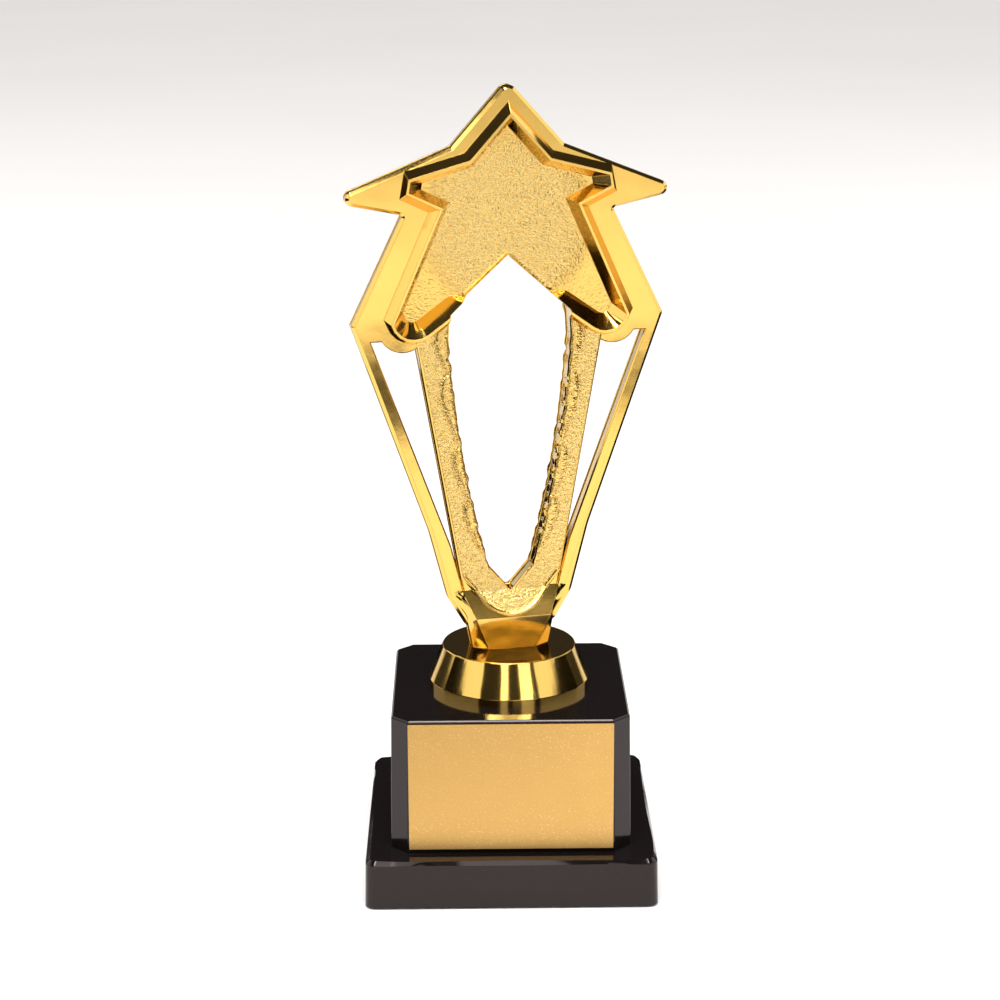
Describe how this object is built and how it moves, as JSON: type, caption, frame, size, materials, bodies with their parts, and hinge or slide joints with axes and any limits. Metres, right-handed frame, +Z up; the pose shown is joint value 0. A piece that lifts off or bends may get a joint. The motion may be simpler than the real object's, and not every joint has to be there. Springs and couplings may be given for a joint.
{
  "type": "star trophy",
  "caption": "Gold star figure with a dished face, open ribbons and side bars on a conical collar and a stepped black plinth with a blank nameplate; the figure turns on its stud.",
  "frame": {"origin": "on the ground under the middle of the plinth", "axes": "+Z up, -Y is the front with the nameplate, +X to the right seen from the front; the figure is stored turned 12 degrees anticlockwise seen from above"},
  "size_m": [0.0874, 0.0806, 0.2201],
  "materials": {
    "gold_plating": "vacuum-metallised gold, mirror polish with grained panels",
    "black_plastic": "piano gloss black",
    "plate_metal": "satin gold, fine grain",
    "adhesive_sheet": "double-sided adhesive sheet",
    "zinc_steel": "zinc plated",
    "plaster": "rough cast plaster",
    "black_board": "black fibreboard",
    "foam_rubber": "self-adhesive pads"
  },
  "bodies": {
    "plinth": {"collar": "gold_plating", "upper_plinth": "black_plastic", "ballast_block": "plaster", "lower_plinth": "black_plastic", "flat_washer": "zinc_steel", "tier_screws": "zinc_steel", "base_cover": "black_board", "foot_pads": "foam_rubber", "nameplate": "plate_metal", "nameplate_tape": "adhesive_sheet"},
    "figure": {"figure_front": "gold_plating", "figure_rear": "gold_plating", "neck_nut": "zinc_steel", "tie_stud": "zinc_steel", "clamp_nut": "zinc_steel", "spring_washer": "zinc_steel"}
  },
  "joints": [
    {"name": "figure_swivel", "type": "hinge", "parent": "plinth", "child": "figure", "pos_m": [0, 0, 0.0636], "axis": [0, 0, 1], "continuous": true}
  ]
}
